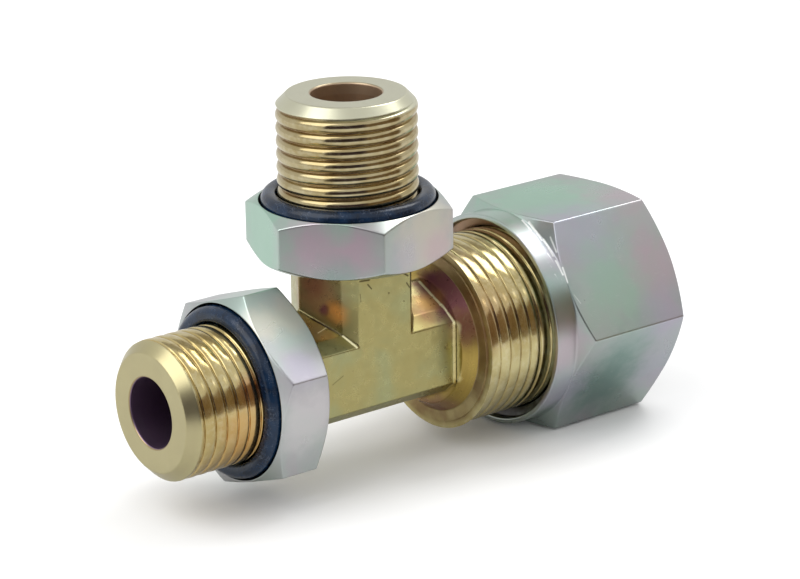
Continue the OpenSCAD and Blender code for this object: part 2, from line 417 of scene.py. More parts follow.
def dress_edges(piece, edge, fillet):
    """Rounds the outer edges of a piece a little and fills its inner corners with a wider fillet."""
    mesh = piece.data
    work = bmesh.new()
    work.from_mesh(mesh)
    bmesh.ops.remove_doubles(work, verts=work.verts, dist=0.004 * MM)
    weights = work.edges.layers.float.new("bevel_weight_edge")
    for line in work.edges:
        if len(line.link_faces) != 2:
            continue
        angle = line.calc_face_angle_signed(0)
        if angle > SHARP_FOLD:
            line[weights] = edge / fillet
        elif angle < -SHARP_FOLD:
            line[weights] = 1.0
    work.to_mesh(mesh)
    work.free()
    bevel = piece.modifiers.new("dress_edges", "BEVEL")
    bevel.width = fillet * MM
    bevel.segments = 4
    bevel.limit_method = "WEIGHT"
    bevel.harden_normals = True
    bake(piece)


def drill(piece, name, start, end, laid):
    """Drills a passage a little wider than the turned ones that it meets."""
    radius = PASSAGE_R + DRILL_ROOM
    combine(piece, frustum(name, (radius, radius), (start, end), laid, 96), "DIFFERENCE")


def forged_arms():
    """The two arms and the flare of the tee, whose facets meet in mitred inner corners, drilled through."""
    arms = arm_prism("forged_arms", -RUN_ARM_END, FLARE_START + ARM_INSIDE_FLARE, ACROSS_RUN)
    combine(arms, arm_prism("branch_arm", 0, BRANCH_ARM_END, UP_BRANCH), "UNION")
    radii = (FLARE_NECK_R + 0.03, FLARE_R + 0.01)
    combine(arms, frustum("flare", radii, (FLARE_START, SHOULDER_X - 0.015), TO_UNION, 120), "UNION")
    dress_edges(arms, DRESSED_EDGE, DRESSED_CORNER)
    drill(arms, "branch_drill", 0, BRANCH_ARM_END + 1, UP_BRANCH)
    drill(arms, "run_drill", -MALE_END, RUN_ARM_END + 1, TO_RUN_STUD)
    return arms


# Nuts


def hexagon_angles(turn):
    """Angles around a hexagon, close together at its six corners."""
    near_corner = [0, 0.35, 0.7, 1.1, 1.6, 2.3, 3.4]
    inside = near_corner + [60 - offset for offset in near_corner[1:]]
    inside += [6 + 3 * step for step in range(17)]
    degrees = sorted(corner * 60 + offset for corner in range(6) for offset in inside)
    return np.radians(np.array(degrees)) + turn


def hexagon_radius(angles, turn, flats, blend=0.14):
    """Distance from the axis to the flats at each angle, with rounded corners."""
    sector = np.mod(angles - turn, math.pi / 3)
    one = flats / 2 / np.cos(sector - math.pi / 6)
    other = flats / 2 / np.cos(math.pi / 6 + np.minimum(sector, math.pi / 3 - sector))
    return soft_min(one, other, blend)


def nut_solid(name, angles, corners, edge, spacing, laid):
    """A nut from its corners, with its edges rounded."""
    outline = ease(outline_from(corners, len(angles)), edge)
    return ring_solid(name, angles, fill_rows(outline, [spacing] * outline.shape[1]), laid)


def locknut(name, planes, turn, laid):
    """A locknut with bevelled ends, a bore and the recess that holds its O-ring."""
    low, high = planes
    angles = hexagon_angles(turn)
    flats = hexagon_radius(angles, turn, LOCKNUT_FLATS)
    bevel = (flats - LOCKNUT_FACE_R) * NUT_CHAMFER
    floor_of_recess = high - RECESS_DEPTH
    corners = [
        (LOCKNUT_BORE_R, low + LOCKNUT_BORE_CHAMFER),
        (LOCKNUT_BORE_R + LOCKNUT_BORE_CHAMFER, low),
        (LOCKNUT_FACE_R, low),
        (flats, low + bevel),
        (flats, high - bevel),
        (LOCKNUT_FACE_R + LOCKNUT_FACE_ROOM, high),
        (RECESS_R, high),
        (RECESS_R, floor_of_recess + RECESS_CORNER),
        (RECESS_R - RECESS_CORNER, floor_of_recess),
        (LOCKNUT_BORE_R, floor_of_recess),
    ]
    return nut_solid(name, angles, corners, 0.14, 0.6, laid)


def union_nut(name):
    """The union nut: counterbored lip, turned nose, bevelled hexagon and pipe hole."""
    lip, back = UNION_PLANES
    angles = hexagon_angles(UNION_TURN)
    flats = hexagon_radius(angles, UNION_TURN, UNION_FLATS)
    corners = [
        (COUNTERBORE_R, lip),
        (NOSE_R, lip),
        (NOSE_R, NOSE_END),
        (flats, NOSE_END + (flats - NOSE_R) * NUT_CHAMFER),
        (flats, back - (flats - UNION_FACE_R) * NUT_CHAMFER),
        (UNION_FACE_R, back),
        (PIPE_HOLE_R + PIPE_HOLE_CHAMFER, back),
        (PIPE_HOLE_R, back - PIPE_HOLE_CHAMFER),
        (PIPE_HOLE_R, SLOPE_SUM - PIPE_HOLE_R),
        (UNION_BORE_R, SLOPE_SUM - UNION_BORE_R),
        (UNION_BORE_R, lip + COUNTERBORE_DEPTH),
        (COUNTERBORE_R, lip + COUNTERBORE_STRAIGHT),
    ]
    return nut_solid(name, angles, corners, 0.16, 0.7, TO_UNION)


def groove_tool(start, end, width, depth):
    """Points and faces of a spindle along a line, as wide and as deep as the groove that it leaves."""
    start, end = Vector(start), Vector(end)
    middle = (start + end) / 2
    way = (end - start).normalized()
    outward = Vector((0, middle.y, middle.z))
    outward = (outward - way * outward.dot(way)).normalized()
    side = way.cross(outward)
    slices, rim = 9, 10
    points = [start]
    for step in range(1, slices):
        share = step / slices
        swell = math.sin(math.pi * share) ** 0.6
        centre = start.lerp(end, share)
        for corner in range(rim):
            a = 2 * math.pi * corner / rim
            aside = side * (math.cos(a) * width / 2 * swell)
            points.append(centre + aside + outward * (math.sin(a) * depth * swell))
    points.append(end)
    faces = []
    for corner in range(rim):
        beside = (corner + 1) % rim
        faces.append((0, 1 + beside, 1 + corner))
        for step in range(slices - 2):
            low = 1 + step * rim
            high = low + rim
            faces.append((low + corner, low + beside, high + beside, high + corner))
        last = 1 + (slices - 2) * rim
        faces.append((last + corner, last + beside, len(points) - 1))
    return points, faces


def engrave(piece, grooves):
    """Cuts short worn grooves and nicks into a piece, each as (start, end, width, depth)."""
    for groove in grooves:
        tool = mesh_from("groove", *groove_tool(*groove), Matrix.Identity(3))
        combine(piece, tool, "DIFFERENCE")
    piece.data.set_sharp_from_angle(angle=math.radians(50))


def o_ring(name, middle, laid):
    """A rubber ring, pressed flat against its stud and slightly uneven as it lies in its recess."""
    angles = even_angles(160)
    around = even_angles(36)
    sway = 0.03 * np.sin(2 * angles + 0.6) + 0.02 * np.sin(5 * angles)
    half_width = (O_RING_OUTER_R - O_RING_INNER_R) / 2
    across = np.cos(around)
    across = np.where(across < 0, -np.abs(across) ** O_RING_PRESSED, across)
    radius = O_RING_INNER_R + half_width * (1 + across)[None, :] + 0 * angles[:, None]
    height = middle - O_RING_DROP + O_RING_HALF_HEIGHT * np.sin(around)[None, :] + 0.5 * sway[:, None]
    return ring_solid(name, angles, np.stack([radius, height], axis=2), laid)


# Shader parts


def shader_node(tree, kind, inputs, **settings):
    """A new node with its settings, and with its inputs set to plain values or linked to other sockets."""
    node = tree.nodes.new("ShaderNode" + kind)
    for setting, value in settings.items():
        setattr(node, setting, value)
    for socket, value in inputs.items():
        if isinstance(value, bpy.types.NodeSocket):
            tree.links.new(value, node.inputs[socket])
        else:
            node.inputs[socket].default_value = value
    return node


def maths(tree, operation, first, second=0.0, clamp=False):
    inputs = {0: first, 1: second}
    return shader_node(tree, "Math", inputs, operation=operation, use_clamp=clamp).outputs[0]


def times(tree, first, second):
    return maths(tree, "MULTIPLY", first, second)


def larger(tree, first, second):
    return maths(tree, "MAXIMUM", first, second)


def inverted(tree, value):
    """One minus a value."""
    return maths(tree, "SUBTRACT", 1.0, value)


def vector_maths(tree, operation, first, second=None, scale=None):
    given = {0: first, 1: second, "Scale": scale}
    inputs = {socket: value for socket, value in given.items() if value is not None}
    node = shader_node(tree, "VectorMath", inputs, operation=operation)
    gives_number = operation in ("DOT_PRODUCT", "LENGTH", "DISTANCE")
    return node.outputs["Value" if gives_number else "Vector"]


def noise(tree, where, scale, detail=4.0, roughness=0.55, distortion=0.0, output="Fac"):
    inputs = dict(Vector=where, Scale=scale, Detail=detail, Roughness=roughness, Distortion=distortion)
    return shader_node(tree, "TexNoise", inputs).outputs[output]


def ramp(tree, value, low, high, low_value=0.0, high_value=1.0):
    """Turns a value between low and high smoothly into one between low_value and high_value."""
    inputs = {"Value": value, "From Min": low, "From Max": high, "To Min": low_value, "To Max": high_value}
    return shader_node(tree, "MapRange", inputs, interpolation_type="SMOOTHSTEP").outputs["Result"]


def mix_colours(tree, share, first, second):
    node = shader_node(tree, "Mix", {"Factor": share, "A": first, "B": second}, data_type="RGBA")
    return next(o for o in node.outputs if o.type == "RGBA")


def bump(tree, height, distance, strength=1.0, **under):
    """Bumps as high as a distance in millimetres, over those passed as Normal if there are any."""
    inputs = {"Strength": strength, "Distance": distance * MM, "Height": height, **under}
    return shader_node(tree, "Bump", inputs).outputs["Normal"]


def object_place(tree):
    """The place on the object, in millimetres."""
    where = shader_node(tree, "TexCoord", {}).outputs["Object"]
    return vector_maths(tree, "SCALE", where, scale=1 / MM)


def shifted(tree, place, seed, sides):
    """A place moved by a seed along some axes, so that each seed gives its own pattern."""
    shift = shader_node(tree, "CombineXYZ", {side: seed for side in sides})
    return vector_maths(tree, "ADD", place, shift.outputs[0])


def axis_parts(tree, axis):
    """The place in millimetres, and its distance along an axis through the origin and out from it."""
    place = object_place(tree)
    along = vector_maths(tree, "DOT_PRODUCT", place, axis)
    back = vector_maths(tree, "SCALE", axis, scale=along)
    out = vector_maths(tree, "LENGTH", vector_maths(tree, "SUBTRACT", place, back))
    return place, along, out


# Node groups. Each make function takes the group and its inputs and gives its outputs by name.


def make_tool_rings(group, given):
    """Fine rings left by the lathe tool on turned faces and bores."""
    place, along, out = axis_parts(group, given["Axis"])
    spot = shader_node(group, "CombineXYZ", {"X": along, "Y": out}).outputs[0]
    fine = noise(group, spot, given["Fineness"], 3.0, 0.7)
    broad = noise(group, spot, 0.9, 2.0)
    patch = noise(group, place, 0.25, 2.0)
    total = maths(group, "ADD", times(group, fine, 0.6), times(group, broad, 0.4))
    total = maths(group, "ADD", times(group, total, 0.7), times(group, patch, 0.3))
    return {"Height": fine, "Shade": total}


def make_groove_stain(group, given):
    """How deep a point lies between the crests and roots of a thread, broken up by patches."""
    place, along, out = axis_parts(group, given["Axis"])
    depth = ramp(group, out, given["Crest"], given["Root"])
    cloud = ramp(group, noise(group, place, 0.35, 3.0), 0.35, 0.65)
    share = times(group, inverted(group, cloud), given["Patchiness"])
    stain = maths(group, "MULTIPLY", depth, inverted(group, share), clamp=True)
    high = ramp(group, out, maths(group, "SUBTRACT", given["Crest"], 0.12), given["Crest"])
    rubbed = ramp(group, noise(group, place, 1.4, 3.0), 0.45, 0.62)
    return {"Stain": stain, "Crest Wear": times(group, high, rubbed)}


def make_clouds(group, given):
    """Soft patches at two sizes, for stains and films that drift over a surface."""
    moved = shifted(group, object_place(group), given["Seed"], "XZ")
    scale = maths(group, "DIVIDE", 1.0, given["Size"])
    broad = noise(group, moved, scale, 3.0, 0.5, 0.6)
    return {"Broad": broad, "Fine": noise(group, moved, times(group, scale, 6.0), 5.0, 0.6)}


def make_pits(group, given):
    """Small round pits with dark bottoms."""
    moved = shifted(group, object_place(group), given["Seed"], "Y")
    scale = maths(group, "DIVIDE", 1.0, given["Spacing"])
    cells = shader_node(group, "TexVoronoi", {"Vector": moved, "Scale": scale}).outputs
    distance = times(group, cells["Distance"], given["Spacing"])
    hole = ramp(group, distance, given["Radius"], times(group, given["Radius"], 0.4))
    pick = shader_node(group, "SeparateColor", {0: cells["Color"]}).outputs[0]
    return {"Pit": times(group, hole, maths(group, "GREATER_THAN", pick, 0.62))}


def make_hairlines(group, given):
    """Thin handling scratches that run roughly along one direction."""
    place = object_place(group)
    along = vector_maths(group, "DOT_PRODUCT", place, given["Direction"])
    squeeze = vector_maths(group, "SCALE", given["Direction"], scale=times(group, along, -0.93))
    stretched = vector_maths(group, "ADD", place, squeeze)
    strands = noise(group, shifted(group, stretched, given["Seed"], "XY"), 3.2, 2.0, 0.5, 0.3)
    middle = maths(group, "ABSOLUTE", maths(group, "SUBTRACT", strands, 0.5))
    line = ramp(group, middle, 0.012, 0.0)
    gate = ramp(group, noise(group, place, 0.7, 2.0), 0.62, 0.5)
    gated = times(group, line, inverted(group, gate))
    return {"Line": times(group, gated, given["Amount"])}


def make_soft_spot(group, given):
    """A patch with ragged edges around a centre given in millimetres."""
    place = object_place(group)
    swirl = noise(group, place, 0.55, 3.0, 0.5, output="Color")
    centred = vector_maths(group, "SUBTRACT", swirl, (0.5, 0.5, 0.5))
    pushed = vector_maths(group, "SCALE", centred, scale=times(group, given["Raggedness"], 4.0))
    distance = vector_maths(group, "DISTANCE", vector_maths(group, "ADD", place, pushed), given["Centre"])
    outer = times(group, given["Radius"], maths(group, "ADD", 1.0, given["Softness"]))
    inner = times(group, given["Radius"], inverted(group, given["Softness"]))
    return {"Spot": ramp(group, distance, outer, inner)}


def make_stroke(group, given):
    """A narrow band along a straight line between two points given in millimetres, with wavering edges."""
    place = object_place(group)
    way = vector_maths(group, "SUBTRACT", given["End"], given["Start"])
    gone = vector_maths(group, "SUBTRACT", place, given["Start"])
    reach = vector_maths(group, "DOT_PRODUCT", gone, way)
    share = maths(group, "DIVIDE", reach, vector_maths(group, "DOT_PRODUCT", way, way), clamp=True)
    away = vector_maths(group, "DISTANCE", gone, vector_maths(group, "SCALE", way, scale=share))
    waver = times(group, maths(group, "SUBTRACT", noise(group, place, 1.6, 2.0), 0.5), 0.6)
    edge = times(group, given["Half Width"], maths(group, "ADD", waver, 1.0))
    return {"Stroke": ramp(group, away, edge, times(group, edge, 0.3))}


def node_group(name, make, inputs):
    """A node group with named number and vector inputs, filled by its make function."""
    group = bpy.data.node_groups.new(name, "ShaderNodeTree")
    for socket, value in inputs.items():
        kind = "NodeSocketVector" if isinstance(value, tuple) else "NodeSocketFloat"
        group.interface.new_socket(socket, in_out="INPUT", socket_type=kind).default_value = value
    made = make(group, group.nodes.new("NodeGroupInput").outputs)
    for socket in made:
        group.interface.new_socket(socket, in_out="OUTPUT", socket_type="NodeSocketFloat")
    result = group.nodes.new("NodeGroupOutput").inputs
    for socket, value in made.items():
        group.links.new(value, result[socket])
    return group


THREAD_SOCKETS = {"Axis": (0, 0, 1), "Crest": 8.0, "Root": 7.0, "Patchiness": 0.5}
LINE_SOCKETS = {"Direction": (1, 0, 0), "Amount": 0.5, "Seed": 0.0}
SPOT_SOCKETS = {"Centre": (0, 0, 0), "Radius": 2.0, "Softness": 0.5, "Raggedness": 1.0}
STROKE_SOCKETS = {"Start": (0, 0, 0), "End": (1, 0, 0), "Half Width": 0.2}
TOOL_RINGS = node_group("tool_rings", make_tool_rings, {"Axis": (0, 0, 1), "Fineness": 6.0})
GROOVE_STAIN = node_group("groove_stain", make_groove_stain, THREAD_SOCKETS)
CLOUDS = node_group("clouds", make_clouds, {"Size": 5.0, "Seed": 0.0})
PITS = node_group("pits", make_pits, {"Spacing": 1.5, "Radius": 0.12, "Seed": 0.0})
HAIRLINES = node_group("hairlines", make_hairlines, LINE_SOCKETS)
SOFT_SPOT = node_group("soft_spot", make_soft_spot, SPOT_SOCKETS)
STROKE = node_group("stroke", make_stroke, STROKE_SOCKETS)


def place_group(tree, group, **values):
    """Places a node group with values for its sockets, and gives its outputs."""
    inputs = {name.replace("_", " "): value for name, value in values.items()}
    return shader_node(tree, "Group", inputs, node_tree=group).outputs


def new_material(name, metallic):
    material = bpy.data.materials.new(name)
    material.use_nodes = True
    shader = material.node_tree.nodes["Principled BSDF"]
    shader.inputs["Metallic"].default_value = metallic
    return material, material.node_tree, shader


def link_looks(tree, shader, base, rough, normal):
    """Links the colour, the roughness and the bumps of a material to its shader."""
    for socket, looks in (("Base Color", base), ("Roughness", rough), ("Normal", normal)):
        tree.links.new(looks, shader.inputs[socket])


def tint(tree, base, share, strength, paint):
    """Mixes a colour into a base by a mask and a strength."""
    return mix_colours(tree, times(tree, share, strength), base, paint)


def soft_spot(tree, centre, radius, softness, raggedness=None):
    ragged = raggedness or 0.25 * radius
    shape = place_group(tree, SOFT_SPOT, Centre=centre, Radius=radius, Softness=softness, Raggedness=ragged)
    return shape["Spot"]


def stroke(tree, start, end, half_width):
    return place_group(tree, STROKE, Start=start, End=end, Half_Width=half_width)["Stroke"]


def paint_marks(tree, base, mark, marks):
    """Paints soft spots or strokes over a base, and gives their cover too.

    Each of the marks is what the mark's function takes, then a strength and a colour.
    """
    cover = 0.0
    for *shape, strength, paint in marks:
        share = times(tree, mark(tree, *shape), strength)
        base = mix_colours(tree, share, base, paint)
        cover = larger(tree, cover, share)
    return base, cover


def turned_brass(name, axis, radii, tip, metal, tip_metal, bore, spots=(), dull_until=None):
    """Turned brass: pale tip, rings from the tool, warm stain in the grooves and rubbed crests, painted
    shade on the mouth edge and painted light and shade in the passage.
    """
    material, tree, shader = new_material(name, 1.0)
    crest, root = radii
    rings = place_group(tree, TOOL_RINGS, Axis=axis, Fineness=3.5)
    stain = place_group(tree, GROOVE_STAIN, Axis=axis, Crest=crest, Root=root, Patchiness=0.6)
    clouds = place_group(tree, CLOUDS, Size=5.0, Seed=3.0)
    base = mix_colours(tree, ramp(tree, clouds["Broad"], 0.35, 0.65), *metal)
    base = tint(tree, base, rings["Shade"], 0.12, colour(150, 126, 86))
    base = tint(tree, base, stain["Stain"], 0.6, colour(126, 88, 66))
    base = tint(tree, base, stain["Crest Wear"], 0.18, colour(240, 234, 206))
    base = paint_marks(tree, base, soft_spot, spots)[0]
    along, out = axis_parts(tree, axis)[1:]
    at_tip = ramp(tree, along, tip - TIP_CHAMFER - 0.25, tip - TIP_CHAMFER)
    base = tint(tree, base, at_tip, 0.85, tint(tree, tip_metal, clouds["Fine"], 0.25, TIP_GOLD))
    # Painted shade on the mouth edge where it turns into the passage
    base = tint(tree, base, ramp(tree, out, PASSAGE_R + 0.24, PASSAGE_R + 0.12), 0.6, MOUTH_SHADE_BROWN)
    # The passage wall takes the bore's paint: painted light in the branch and the cone, painted shade in the
    # run
    in_bore = ramp(tree, out, PASSAGE_R + 0.1, PASSAGE_R + 0.03)
    base = tint(tree, base, in_bore, *bore)
    rough = ramp(tree, clouds["Fine"], 0.3, 0.7, 0.12, 0.22)
    rough = larger(tree, rough, times(tree, in_bore, 0.5))
    rough = larger(tree, rough, times(tree, at_tip, 0.3))
    if dull_until is not None:
        dull = ramp(tree, along, dull_until + 0.05, dull_until - 0.05)
        rough = larger(tree, rough, times(tree, dull, 0.5))
    link_looks(tree, shader, base, rough, bump(tree, rings["Height"], 0.006, 0.6))
    return material


def forged_brass(name):
    """Forged brass: olive satin skin with pits near the nut, hairlines, warm and purple heat stains, and
    painted highlights along some edges.
    """
    material, tree, shader = new_material(name, 1.0)
    clouds = place_group(tree, CLOUDS, Size=6.0, Seed=11.0)
    pits = place_group(tree, PITS, Spacing=0.9, Radius=0.16, Seed=4.0)
    lines = place_group(tree, HAIRLINES, Direction=(0.3, 0.1, 0.95), Amount=0.45, Seed=2.0)
    base = mix_colours(tree, ramp(tree, clouds["Broad"], 0.35, 0.7), OLIVE, OLIVE_GREEN)
    base = tint(tree, base, clouds["Fine"], 0.08, colour(150, 136, 88))
    along = axis_parts(tree, (1, 0, 0))[1]
    on_flare = ramp(tree, along, FLARE_START - 0.22, FLARE_START - 0.05)
    streaks = place_group(tree, TOOL_RINGS, Axis=(1, 0, 0), Fineness=2.2)
    base = tint(tree, base, on_flare, 0.85, mix_colours(tree, streaks["Shade"], FLARE_GOLD, FLARE_BROWN))
    base, stained = paint_marks(tree, base, soft_spot, FORGING_STAINS)
    base = paint_marks(tree, base, stroke, FORGING_CREASES)[0]
    # Painted highlights along edges and on a facet
    base, glinting = paint_marks(tree, base, stroke, FORGING_GLINTS)
    near_nut = soft_spot(tree, (-1.5, -6.3, 10.8), 2.6, 0.5, 1.2)
    near_edge = soft_spot(tree, (3.5, -6.3, 8.0), 2.2, 0.5, 1.2)
    clustered = larger(tree, larger(tree, near_nut, near_edge), 0.12)
    pitted = times(tree, pits["Pit"], clustered)
    base = tint(tree, base, pitted, 0.9, colour(46, 32, 18))
    base = tint(tree, base, lines["Line"], 0.4, colour(208, 202, 160))
    # Stains and painted highlights are less metallic, so that the painted highlights light up as bright
    # lines
    covered = larger(tree, times(tree, stained, 0.6), times(tree, glinting, 0.8))
    tree.links.new(inverted(tree, covered), shader.inputs["Metallic"])
    rough = ramp(tree, clouds["Fine"], 0.3, 0.7, 0.26, 0.36)
    skin = bump(tree, clouds["Fine"], 0.015, 0.4)
    link_looks(tree, shader, base, rough, bump(tree, inverted(tree, pitted), 0.06, Normal=skin))
    return material


def zinc_plate(name, seed, axis, bore, film_and_face_light, lines_drawn=(), bore_light_spots=()):
    """Bright zinc with thin passivation films in soft patches of green, pink, lilac and blue, whose patches
    also paint some flats lighter or darker as painted light and shade, and dull in its bore.

    The bore is its radius, where it starts and ends along the axis, and its colour, painted shade on its
    inside; patches of painted light can go over it.
    """
    material, tree, shader = new_material(name, 1.0)
    clouds = place_group(tree, CLOUDS, Size=9.0, Seed=seed)
    other = place_group(tree, CLOUDS, Size=7.0, Seed=seed + 17.0)
    lines = place_group(tree, HAIRLINES, Direction=axis, Amount=0.6, Seed=seed)
    base = mix_colours(tree, ramp(tree, clouds["Broad"], 0.3, 0.7), ZINC_GREY, ZINC_GREEN)
    base = tint(tree, base, ramp(tree, other["Broad"], 0.5, 0.66), 0.5, ZINC_PINK)
    # Film patches, some of them painted light and shade on single flats
    base = paint_marks(tree, base, soft_spot, film_and_face_light)[0]
    base = tint(tree, base, other["Fine"], 0.04, colour(132, 140, 140))
    base = tint(tree, base, lines["Line"], 0.3, colour(222, 226, 224))
    base, scratched = paint_marks(tree, base, stroke, lines_drawn)
    along, out = axis_parts(tree, axis)[1:]
    bore_r, bore_start, bore_end, bore_paint = bore
    inside = ramp(tree, out, bore_r + 0.01, bore_r - 0.05)
    inside = times(tree, inside, ramp(tree, along, bore_start - 0.05, bore_start + 0.05))
    inside = times(tree, inside, ramp(tree, along, bore_end + 0.05, bore_end - 0.05))
    # The inside takes the bore's colour as painted shade, and on the union nut patches of painted light over
    # it
    base = tint(tree, base, inside, 0.9, paint_marks(tree, bore_paint, soft_spot, bore_light_spots)[0])
    rough = ramp(tree, other["Broad"], 0.3, 0.7, 0.27, 0.33)
    rough = larger(tree, rough, times(tree, inside, 0.45))
    if lines_drawn:
        bare = inverted(tree, times(tree, scratched, 0.6))
        tree.links.new(bare, shader.inputs["Metallic"])
    link_looks(tree, shader, base, rough, bump(tree, other["Fine"], 0.0015, 0.4))
    return material


def seal_rubber(name):
    """Blue-black rubber with a soft sheen, grey scuffs and dust."""
    material, tree, shader = new_material(name, 0.0)
    clouds = place_group(tree, CLOUDS, Size=2.2, Seed=7.0)
    lines = place_group(tree, HAIRLINES, Direction=(0.2, 0.9, 0.1), Amount=0.8, Seed=9.0)
    base = mix_colours(tree, ramp(tree, clouds["Broad"], 0.35, 0.65), RUBBER_BLACK, RUBBER_BLUE)
    base = tint(tree, base, ramp(tree, clouds["Fine"], 0.6, 0.75), 0.3, colour(58, 76, 108))
    base = tint(tree, base, lines["Line"], 0.6, colour(140, 150, 170))
    shader.inputs["Specular IOR Level"].default_value = 0.4
    rough = ramp(tree, clouds["Fine"], 0.3, 0.7, 0.15, 0.28)
    link_looks(tree, shader, base, rough, bump(tree, clouds["Fine"], 0.02, 0.6))
    return material


def ring_steel(name):
    """Plain turned steel under a light oil film."""
    material, tree, shader = new_material(name, 1.0)
    rings = place_group(tree, TOOL_RINGS, Axis=(1, 0, 0), Fineness=6.0)
    clouds = place_group(tree, CLOUDS, Size=3.0, Seed=21.0)
    base = mix_colours(tree, rings["Shade"], colour(150, 152, 156), colour(110, 108, 106))
    base = tint(tree, base, ramp(tree, clouds["Broad"], 0.5, 0.7), 0.4, colour(120, 104, 84))
    rough = ramp(tree, clouds["Fine"], 0.3, 0.7, 0.25, 0.4)
    link_looks(tree, shader, base, rough, bump(tree, rings["Height"], 0.008))
    return material


# Finishes

BRANCH_METAL = (colour(196, 184, 146), colour(176, 160, 116))
RUN_METAL = (colour(212, 196, 142), colour(190, 170, 114))
CONE_METAL = (colour(214, 202, 150), colour(188, 172, 118))
TIP_SILVER = colour(216, 218, 196)
TIP_PALE_GOLD = colour(190, 183, 143)
TIP_GOLD = colour(200, 192, 148)
# Bore paints (strength, colour): painted light in the branch's and the cone's passage, painted shade in the
# run's; then painted shade for the mouth edge
LIT_BORE_BROWN = (0.6, colour(206, 176, 150))
SHADED_BORE_PURPLE = (0.85, colour(132, 108, 146))
MOUTH_SHADE_BROWN = colour(150, 122, 84)
FLARE_BROWN = colour(134, 100, 44)
FLARE_GOLD = colour(210, 182, 92)
OLIVE = colour(180, 170, 114)
OLIVE_GREEN = colour(172, 174, 128)
ZINC_GREY = colour(186, 190, 190)
ZINC_GREEN = colour(178, 192, 184)
ZINC_PINK = colour(192, 182, 190)
# Film tints, also used to paint single flats lighter or darker as painted light and shade
FILM_GREEN = colour(166, 206, 184)
FILM_PINK = colour(208, 172, 192)
FILM_LILAC = colour(186, 178, 204)
FILM_TEAL = colour(146, 178, 168)
FILM_DARK_TEAL = colour(108, 142, 132)
FILM_CREAM = colour(216, 208, 190)
FILM_PALE = colour(222, 218, 220)
# Painted shade for the inside of a locknut's recess and bore
RECESS_SHADE_BLACK = colour(40, 38, 36)
RUBBER_BLACK = colour(4, 20, 38)
RUBBER_BLUE = colour(12, 37, 62)
# Painted shade for the inside of the union nut, and painted light for patches on its counterbore's wall
COUNTERBORE_SHADE_GREY = colour(96, 92, 98)
COUNTERBORE_LIGHT_BROWN = colour(206, 174, 162)
COUNTERBORE_LIGHT_PALE = colour(200, 212, 220)
STAIN_BROWN = colour(140, 98, 54)
STAIN_ORANGE = colour(224, 150, 70)
STAIN_RUST = colour(166, 116, 78)
STAIN_RED = colour(150, 84, 64)
STAIN_PURPLE = colour(112, 54, 74)
STAIN_MAROON = colour(126, 74, 62)
STAIN_OLIVE = colour(140, 112, 62)
STAIN_AMBER_DARK = colour(196, 150, 76)


def on_face(turn_degrees, along, flats):
    """A point on a flat of a nut, seen along its axis: the flat's direction and the way along it."""
    a = math.radians(turn_degrees)
    return (flats / 2 * math.cos(a) - along * math.sin(a), flats / 2 * math.sin(a) + along * math.cos(a))


# What paint_marks takes: soft spots (centre, radius, softness, strength, colour)
# and strokes (start, end, half width, strength, colour), with their places in millimetres.

FORGING_STAINS = [
    ((-6.2, -2.4, 9.4), 2.8, 0.6, 0.75, STAIN_RUST),
    ((-5.2, -4.3, 7.5), 1.2, 0.7, 0.85, STAIN_ORANGE),
    ((-5.9, -2.9, 7.7), 0.6, 0.6, 0.8, STAIN_PURPLE),
    ((-6.5, -1.6, 10.6), 1.5, 0.7, 0.6, STAIN_RED),
    ((-6.35, -3.51, 5.63), 1.6, 0.6, 0.5, STAIN_OLIVE),
    ((9.9, -1.2, 7.5), 1.4, 0.6, 0.8, STAIN_MAROON),
    ((11.0, -5.0, 7.0), 3.9, 0.4, 0.9, STAIN_PURPLE),
    ((10.9, -7.4, 3.0), 1.9, 0.6, 0.75, STAIN_MAROON),
    ((10.4, -3.6, -8.6), 2.6, 0.6, 0.5, STAIN_PURPLE),
    ((10.8, -1.0, -8.6), 2.0, 0.6, 0.6, STAIN_PURPLE),
    ((6.6, -4.4, 5.3), 1.9, 0.7, 0.65, STAIN_BROWN),
    ((8.6, -3.4, 5.7), 1.4, 0.7, 0.6, STAIN_AMBER_DARK),
]
CONE_STAINS = [
    ((11.5, -9.6, 4.0), 3.0, 0.6, 0.4, colour(190, 150, 116)),
    ((11.5, -4.0, 10.0), 3.4, 0.6, 0.3, colour(190, 156, 124)),
    ((14.0, -9.0, 6.0), 3.0, 0.6, 0.2, colour(206, 158, 104)),
]
RUN_STAINS = [
    ((-20.5, -7.6, -1.6), 3.0, 0.6, 0.6, colour(206, 158, 92)),
    ((-19.4, -6.4, -5.0), 2.6, 0.6, 0.6, colour(210, 162, 94)),
    ((-19.0, -7.4, 3.0), 1.8, 0.6, 0.5, colour(206, 140, 100)),
    ((-23.5, -5.4, -5.4), 2.4, 0.6, 0.4, colour(206, 164, 96)),
]
